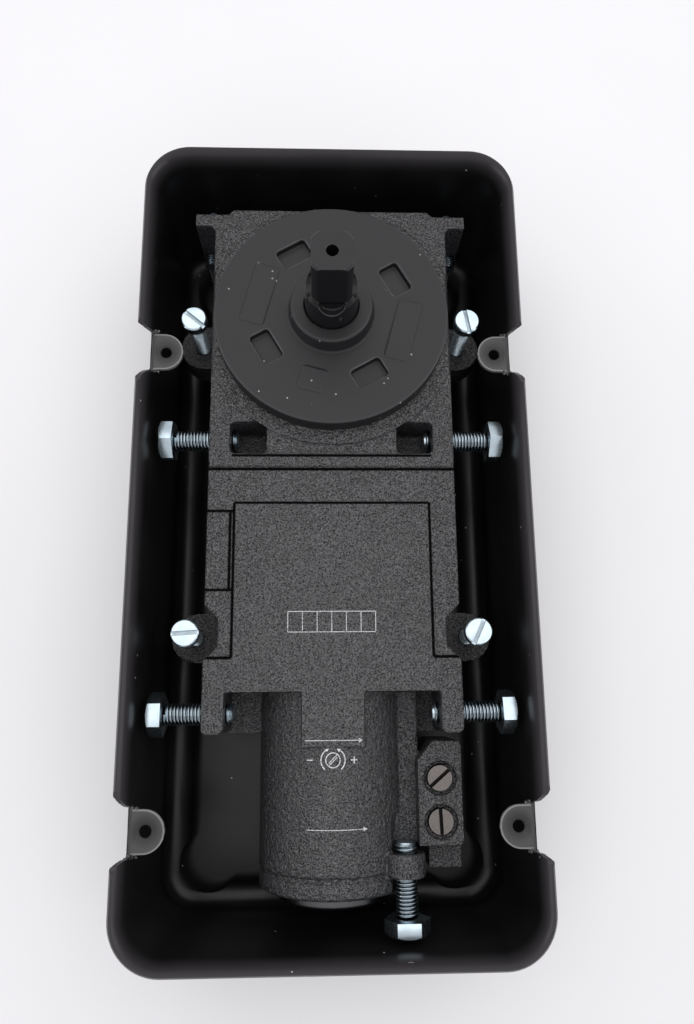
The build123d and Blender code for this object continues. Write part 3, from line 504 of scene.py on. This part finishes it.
def node_copy(node, name, gap=0.004 * MM):
    """A new object that starts from a CAD node's mesh, its doubles merged."""
    bm = bmesh.new()
    bm.from_mesh(frame["nodes"][node].data)
    bmesh.ops.remove_doubles(bm, verts=bm.verts, dist=gap)
    return mesh_object(name, bm)


def soften(obj, voxel, rounds, limit):
    """Sharp CAD edges become the rounded ones of a casting or of thick paint."""
    modify(obj, "REMESH", mode="VOXEL", voxel_size=voxel, use_smooth_shade=True)
    modify(obj, "SMOOTH", factor=0.5, iterations=rounds)
    settle(obj)
    count = 2 * len(obj.data.polygons)
    if count > limit:
        modify(obj, "DECIMATE", ratio=limit / count)
        settle(obj)
    return obj


def web(bm, x0, x1, y0, y1, z0, z1):
    size = Matrix.Diagonal((x1 - x0, y1 - y0, z1 - z0, 1))
    middle = Matrix.Translation(((x0 + x1) / 2, (y0 + y1) / 2, (z0 + z1) / 2))
    bmesh.ops.create_cube(bm, size=1, matrix=middle @ size)


cast_paint = cast_finish()
bm = bmesh.new()
for sx in (-1, 1):
    inner, outer = sorted((sx * WEB_IN, sx * WEB_OUT))
    web(bm, inner, outer, WEB_NEAR, WEB_FAR, WEB_LOW, WEB_TOP)
webs = mesh_object("webs", bm)
body_cast = joined("body_cast", [node_copy("closer_body", "casting"), webs])
soften(body_cast, CAST_VOXEL, 5, CAST_FACES)
finish_piece(body_cast, "housing", cast_paint, ["closer_body"], 60)


# Lid, spindle and end plug
# The lid is cast, turned and painted, and screws into the casting. The spindle is
# machined and blackened. The end plug is turned and closes the spring cylinder.
SHADE_BAND_LOW, SHADE_BAND_TOP = 84.4 * MM, 86.3 * MM
LID_FACES, SPINDLE_FACES, PLUG_FACES = 190000, 120000, 90000


def lid_finish():
    f = Finish("lid_paint", (0.022, 0.022, 0.023), 0.42)
    grain = f.noise(0.35 * MM, 2.0)
    patch = f.noise(16 * MM).ramp(0.3, 0.7)
    dust = f.specks(1.5 * MM, 0.012)
    paint = f.mix(patch, (0.0075, 0.0075, 0.009), (0.011, 0.011, 0.0125))
    # Painted highlight: sharp edges of the lid are painted paler.
    edged = f.mix(f.edges(0.51, 0.56) * 0.7, paint, (0.11, 0.11, 0.115))
    # Painted shade: narrow gaps are painted near black and given less shine.
    gap = f.hollow_shade(1.3 * MM)
    edged = f.mix(gap * 0.9, edged, (0.001, 0.001, 0.001))
    f.set("Base Color", f.mix(dust, edged, (0.3, 0.3, 0.3)))
    f.set("Specular IOR Level", 0.43 - gap * 0.36)
    f.set("Roughness", patch * 0.08 + 0.46)
    f.bump(grain, 0.03 * MM)
    return f.material


def spindle_finish():
    f = Finish("spindle_black", (0.014, 0.014, 0.015), 0.34, 0.1)
    line = f.noise(0.5 * MM, 2.0, (1, 1, 6))
    z = f.axes()[2]
    # Painted shade: a dark band is painted round the spindle at the top of its neck, below the square.
    shade_band = z.ramp(SHADE_BAND_LOW, SHADE_BAND_LOW + 0.3 * MM) * z.ramp(SHADE_BAND_TOP, SHADE_BAND_TOP - 0.3 * MM)
    steel = f.mix(line.ramp(0.3, 0.7), (0.006, 0.006, 0.007), (0.012, 0.012, 0.014))
    # Painted highlight: sharp edges of the spindle are painted paler.
    edged = f.mix(f.edges(0.51, 0.56) * 0.6, steel, (0.08, 0.08, 0.08))
    f.set("Base Color", f.mix(shade_band, edged, (0.003, 0.003, 0.003)))
    f.set("Specular IOR Level", 0.36)
    f.set("Roughness", line * 0.15 + 0.25 - shade_band * 0.1)
    f.bump(line, 0.01 * MM)
    return f.material


lid_paint, spindle_black = lid_finish(), spindle_finish()
turned_plug = plain_metal("turned_plug", (0.1, 0.1, 0.105), 0.32)
lid_cast = soften(node_copy("lid", "lid_cast"), 0.36 * MM, 2, LID_FACES)
finish_piece(lid_cast, "housing", lid_paint, ["lid"], 60)
spindle_turned = soften(node_copy("spindle", "spindle_turned"), 0.28 * MM, 2, SPINDLE_FACES)
finish_piece(spindle_turned, "spindle_shaft", spindle_black, ["spindle"], 60)
plug_turned = soften(node_copy("end_plug", "plug_turned"), 0.35 * MM, 1, PLUG_FACES)
finish_piece(plug_turned, "housing", turned_plug, ["end_plug"], 60)


# Screws and bolts
# Standard zinc-plated steel screws: a thread on each stem, and a head with its edges
# eased. They hold the casting in its box, and turning them shifts it there.
M8_R, M8_PITCH, M8_LEN, M8_HEAD = 4 * MM, 1.25 * MM, 25 * MM, 5.3 * MM
M6_R, M6_PITCH, M6_LEN, SET_LEN = 3 * MM, 1.0 * MM, 50 * MM, 25 * MM
THREAD_DEPTH, CREST_FROM, CREST_TO, ROOT_FROM = 0.61, 0.34, 0.5, 0.84


def zinc_finish():
    f = Finish("zinc_plate", (0.72, 0.77, 0.8), 0.25, 1.0)
    cloud = f.noise(3 * MM).ramp(0.3, 0.7)
    fine = f.noise(0.25 * MM, 2.0)
    plate = f.mix(cloud, (0.5, 0.59, 0.65), (0.58, 0.68, 0.75))
    # Painted shade: the plating is painted dark in slots and thread roots.
    f.set("Base Color", f.mix(f.hollow_shade(1.6 * MM), plate, (0.03, 0.036, 0.042)))
    f.set("Roughness", fine * 0.14 + 0.2)
    f.bump(fine, 0.008 * MM)
    return f.material


def thread(radius, pitch, length, steps=20):
    """A screw thread along -Z from the origin, with a tapered tip."""
    bm = bmesh.new()
    depth = THREAD_DEPTH * pitch
    root = radius - depth
    profile = [(root, 0.0), (radius, CREST_FROM), (radius, CREST_TO), (root, ROOT_FROM), (root, 1.0)]
    line = [bm.verts.new((r, 0, pitch * (t - 1))) for r, t in profile]
    for a, b in zip(line, line[1:]):
        bm.edges.new((a, b))
    turns = math.ceil(length / pitch) + 1
    step = (0, 0, -pitch / steps)
    bmesh.ops.spin(bm, geom=list(bm.verts) + list(bm.edges), cent=(0, 0, 0), axis=(0, 0, 1), dvec=step,
                   angle=-2 * math.pi * turns, steps=turns * steps, use_merge=False)
    bmesh.ops.remove_doubles(bm, verts=bm.verts, dist=0.01 * MM)
    taper = 1.2 * depth
    for v in bm.verts:
        z = max(-length, min(0.0, v.co.z))
        flat = math.hypot(v.co.x, v.co.y)
        room = radius - max(0.0, taper - (z + length))
        scale = min(1.0, room / flat)
        v.co = (v.co.x * scale, v.co.y * scale, z)
    bmesh.ops.remove_doubles(bm, verts=bm.verts, dist=0.01 * MM)
    bmesh.ops.holes_fill(bm, edges=[e for e in bm.edges if e.is_boundary])
    bmesh.ops.recalc_face_normals(bm, faces=bm.faces)
    return bm


def head_of(node, point, normal, ease):
    """The part of a CAD screw on the side of the plane that normal points to, its edges eased."""
    obj = node_copy(node, "head")
    bm = bmesh.new()
    bm.from_mesh(obj.data)
    everything = list(bm.verts) + list(bm.edges) + list(bm.faces)
    bmesh.ops.bisect_plane(bm, geom=everything, plane_co=point, plane_no=normal, clear_inner=True)
    bmesh.ops.holes_fill(bm, edges=[e for e in bm.edges if e.is_boundary])
    bmesh.ops.dissolve_limit(bm, angle_limit=math.radians(1), verts=bm.verts, edges=bm.edges)
    bmesh.ops.recalc_face_normals(bm, faces=bm.faces)
    bm.to_mesh(obj.data)
    bm.free()
    modify(obj, "BEVEL", width=ease, segments=2, limit_method="ANGLE", angle_limit=math.radians(25))
    return settle(obj)


def stem_of(pattern, seat, along):
    """A copy of a finished thread, with its start at seat and its tip along the given way."""
    bm = bmesh.new()
    bm.from_mesh(pattern)
    turn = Vector((0, 0, -1)).rotation_difference(along).to_matrix().to_4x4()
    bm.transform(Matrix.Translation(seat) @ turn)
    return mesh_object("stem", bm)


def pattern_of(radius, pitch, length):
    mesh = bpy.data.meshes.new("thread")
    bm = thread(radius, pitch, length)
    bm.to_mesh(mesh)
    bm.free()
    return mesh


def screw(node, seat, along, pattern, ease=0.25 * MM):
    """A headed screw: seat is the centre under the head, along points from it to the tip."""
    stem = stem_of(pattern, seat, along)
    head = head_of(node, seat + 0.02 * MM * along, -along, ease)
    piece = joined(node + "_threaded", [stem, head])
    return finish_piece(piece, node + "_move", zinc_plate, [node], 30)


zinc_plate = zinc_finish()
bolt_thread = pattern_of(M8_R, M8_PITCH, M8_LEN)
height_thread = pattern_of(M6_R, M6_PITCH, M6_LEN)
set_thread = pattern_of(M6_R, M6_PITCH, SET_LEN)
for side, sx in (("left", -1), ("right", 1)):
    for end in ("far", "near"):
        node = f"side_bolt_{end}_{side}"
        low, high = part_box(node)
        outer = max(abs(low[0]), abs(high[0])) - M8_HEAD
        seat = Vector((sx * outer, (low[1] + high[1]) / 2, (low[2] + high[2]) / 2))
        screw(node, seat, Vector((-sx, 0, 0)), bolt_thread)
        node = f"height_screw_{end}_{side}"
        low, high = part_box(node)
        seat = Vector(((low[0] + high[0]) / 2, (low[1] + high[1]) / 2, low[2] + M6_LEN))
        screw(node, seat, Vector((0, 0, -1)), height_thread, 0.2 * MM)
    node = f"set_screw_{side}"
    low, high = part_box(node)
    start = Vector(((low[0] + high[0]) / 2, low[1], (low[2] + high[2]) / 2))
    stud = joined(node + "_threaded", [stem_of(set_thread, start, Vector((0, 1, 0)))])
    finish_piece(stud, node + "_move", zinc_plate, [node], 30)
low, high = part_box("end_bolt")
seat = Vector(((low[0] + high[0]) / 2, low[1] + M8_HEAD, (low[2] + high[2]) / 2))
screw("end_bolt", seat, Vector((0, 1, 0)), bolt_thread)


# Printed signs
# Pale ink printed on the painted casting: a row of empty cells on the plate, and on the
# cylinder's crest a slotted screw between two turning arrows, a plain arrow either side.
CELL_X0, CELL_X1, CELL_Y0, CELL_Y1, INK = -16.1 * MM, 15.5 * MM, -41 * MM, -33.6 * MM, 0.26 * MM
SIGN_X, SIGN_Y, SIGN_R, TURN_R = -0.1 * MM, -85.5 * MM, 2.5 * MM, 4.2 * MM
PLATE_END = -81 * MM


def ink_finish():
    f = Finish("print_ink", (0.5, 0.5, 0.52), 0.6)
    worn = f.noise(0.5 * MM, 3.0).ramp(0.34, 0.5)
    f.set("Base Color", f.mix(worn, (0.12, 0.12, 0.125), (0.62, 0.62, 0.64)))
    return f.material


def bar(bm, x0, x1, y0, y1, turn=0.0):
    columns = max(1, round((x1 - x0) / (0.8 * MM)))
    new = bmesh.ops.create_grid(bm, x_segments=columns, y_segments=1, size=0.5)["verts"]
    bmesh.ops.scale(bm, verts=new, vec=(x1 - x0, y1 - y0, 1))
    middle = Matrix.Translation(((x0 + x1) / 2, (y0 + y1) / 2, 0))
    bmesh.ops.transform(bm, verts=new, matrix=middle @ Matrix.Rotation(math.radians(turn), 4, "Z"))


def arc(bm, x, y, radius, width, start, end):
    a, b = bm.verts.new((radius - width / 2, 0, 0)), bm.verts.new((radius + width / 2, 0, 0))
    line = [a, b, bm.edges.new((a, b))]
    bmesh.ops.rotate(bm, verts=[a, b], matrix=Matrix.Rotation(math.radians(start), 3, "Z"))
    before = set(bm.verts) - {a, b}
    bmesh.ops.spin(bm, geom=line, cent=(0, 0, 0), axis=(0, 0, 1), angle=math.radians(end - start),
                   steps=round((end - start) / 9), use_merge=end - start == 360)
    bmesh.ops.translate(bm, verts=[v for v in bm.verts if v not in before], vec=(x, y, 0))


def arrowhead(bm, x, y, size, turn):
    where = Matrix.Translation((x, y, 0)) @ Matrix.Rotation(math.radians(turn), 4, "Z")
    bmesh.ops.create_circle(bm, segments=3, radius=size, cap_ends=True, matrix=where)


def arrow(bm, x0, x1, y):
    bar(bm, x0, x1 - MM, y - 0.13 * MM, y + 0.13 * MM)
    arrowhead(bm, x1 - 0.9 * MM, y, 0.9 * MM, -90)


print_ink = ink_finish()
bm = bmesh.new()
bar(bm, CELL_X0, CELL_X1, CELL_Y0 - INK / 2, CELL_Y0 + INK / 2)
bar(bm, CELL_X0, CELL_X1, CELL_Y1 - INK / 2, CELL_Y1 + INK / 2)
for k in range(7):
    x = CELL_X0 + (CELL_X1 - CELL_X0) * k / 6
    bar(bm, x - INK / 2, x + INK / 2, CELL_Y0, CELL_Y1)
arrow(bm, -9.9 * MM, 10.3 * MM, -78.8 * MM)
arrow(bm, -9.2 * MM, 11.7 * MM, -108.6 * MM)
arc(bm, SIGN_X, SIGN_Y, SIGN_R, 0.35 * MM, 0, 360)
bar(bm, SIGN_X - 2.1 * MM, SIGN_X + 2.1 * MM, SIGN_Y + 0.3 * MM, SIGN_Y + 0.6 * MM, 45)
bar(bm, SIGN_X - 2.1 * MM, SIGN_X + 2.1 * MM, SIGN_Y - 0.6 * MM, SIGN_Y - 0.3 * MM, 45)
for start, end, point in ((120, 228, 120), (-48, 60, 60)):
    arc(bm, SIGN_X, SIGN_Y, TURN_R, 0.4 * MM, start, end)
    a = math.radians(point)
    lean = 1 if point > 90 else -1
    arrowhead(bm, SIGN_X + TURN_R * math.cos(a), SIGN_Y + TURN_R * math.sin(a), 1.0 * MM, -lean * 60)
bar(bm, SIGN_X - 9.1 * MM, SIGN_X - 6.9 * MM, SIGN_Y - 0.2 * MM, SIGN_Y + 0.2 * MM)
bar(bm, SIGN_X + 6.2 * MM, SIGN_X + 8.6 * MM, SIGN_Y - 0.2 * MM, SIGN_Y + 0.2 * MM)
bar(bm, SIGN_X + 7.2 * MM, SIGN_X + 7.6 * MM, SIGN_Y - 1.2 * MM, SIGN_Y + 1.2 * MM)
for v in bm.verts:
    crest = CREST_Z + math.sqrt(CREST_R**2 - v.co.x**2)
    v.co.z = (CAST_TOP if v.co.y > PLATE_END else crest) + 0.05 * MM
bmesh.ops.recalc_face_normals(bm, faces=bm.faces)
bmesh.ops.reverse_faces(bm, faces=[f for f in bm.faces if f.normal.z < 0])
signs = mesh_object("printed_signs", bm)
modify(signs, "SOLIDIFY", thickness=0.03 * MM, offset=0)
finish_piece(settle(signs), "housing", print_ink, sharp=60)


# Pieces that keep their CAD mesh
# The speed screws are turned from dull metal. Inside, out of sight, are the ground cam,
# bearings and piston, the coiled spring and the rubber rings.
SLOT_TOP, SLOT_FLOOR = 49.9 * MM, 49.4 * MM


def valve_finish():
    f = Finish("valve_metal", (0.13, 0.115, 0.11), 0.38, 1.0)
    fine = f.noise(0.3 * MM, 2.0)
    # Painted shade: the slots are painted dark below the screw tops.
    slot_shade = f.axes()[2].ramp(SLOT_TOP, SLOT_FLOOR)
    face = f.mix(fine.ramp(0.3, 0.7), (0.11, 0.1, 0.095), (0.17, 0.15, 0.145))
    f.set("Base Color", f.mix(slot_shade, face, (0.01, 0.009, 0.009)))
    f.set("Roughness", fine * 0.16 + 0.3)
    f.bump(fine, 0.01 * MM)
    return f.material


def rubber_finish():
    f = Finish("rubber_black", (0.018, 0.018, 0.018), 0.6)
    f.bump(f.noise(0.3 * MM), 0.01 * MM)
    return f.material


valve_metal, rubber_black = valve_finish(), rubber_finish()
ground_steel = plain_metal("ground_steel", (0.35, 0.35, 0.36), 0.3)
spring_wire = plain_metal("spring_wire", (0.2, 0.2, 0.21), 0.35)
slots = {"box_sheet": box_paint, "casting": cast_paint, "lid_paint": lid_paint,
         "spindle_steel": spindle_black, "zinc": zinc_plate, "steel": ground_steel,
         "rubber": rubber_black, "spring_steel": spring_wire, "plug_steel": turned_plug,
         "valve_brass": valve_metal}
for part in frame["record"]["subparts"]:
    mesh = frame["nodes"][part["node"]].data
    for place in range(max(1, len(mesh.materials))):
        if mesh.materials:
            mesh.materials[place] = slots[part["material_slot"]]
        else:
            mesh.materials.append(slots[part["material_slot"]])


# Camera, lamps and floor
# The camera is fitted to the photograph's four rim corners. One large soft lamp above and
# a low one on either side light the object evenly on a pale table.
LENS, CAMERA_PLACE, CAMERA_TURN = 24.61, (-0.00269, -0.06373, 0.31031), (11.032, -1.738, -0.497)
SIDE_LAMP, SIDE_POWER, CEILING_POWER = (0.9, 0.3), 1.5, 5.2


def area_lamp(name, place, target, size, power):
    lamp = bpy.data.lights.new(name, "AREA")
    lamp.shape, lamp.size, lamp.size_y = "RECTANGLE", size[0], size[1]
    lamp.energy = power
    obj = bpy.data.objects.new(name, lamp)
    obj.location = place
    obj.rotation_euler = (Vector(target) - Vector(place)).to_track_quat("-Z", "Y").to_euler()
    scene.collection.objects.link(obj)


def camera():
    data = bpy.data.cameras.new("camera")
    data.sensor_width, data.lens = 36, LENS
    data.shift_y = 48 / 1024
    data.clip_start = 0.01
    obj = bpy.data.objects.new("camera", data)
    obj.location = CAMERA_PLACE
    obj.rotation_euler = [math.radians(a) for a in CAMERA_TURN]
    scene.collection.objects.link(obj)
    scene.camera = obj


def floor():
    bm = bmesh.new()
    bmesh.ops.create_grid(bm, x_segments=2, y_segments=2, size=3)
    bmesh.ops.translate(bm, verts=bm.verts, vec=(0, 0, -0.05 * MM))
    obj = mesh_object("table", bm)
    f = Finish("table_white", (0.79, 0.78, 0.8), 0.7)
    f.set("Base Color", f.mix(f.noise(0.2).ramp(0.3, 0.7), (0.78, 0.77, 0.79), (0.8, 0.79, 0.81)))
    obj.data.materials.append(f.material)


camera()
floor()
area_lamp("lamp_ceiling", (0.03, 0.35, 0.95), (0.03, 0.3, 0), (1.4, 1.3), CEILING_POWER)
area_lamp("lamp_left", (-0.9, 0.0, 0.2), (0, 0, 0.06), SIDE_LAMP, SIDE_POWER)
area_lamp("lamp_right", (0.9, 0.0, 0.2), (0, 0, 0.06), SIDE_LAMP, SIDE_POWER)
world = bpy.data.worlds.new("room")
world.use_nodes = True
sky = world.node_tree.nodes["Background"]
sky.inputs["Color"].default_value = (0.89, 0.89, 0.9, 1)
sky.inputs["Strength"].default_value = 0.92
scene.world = world
scene.view_settings.view_transform = "Standard"
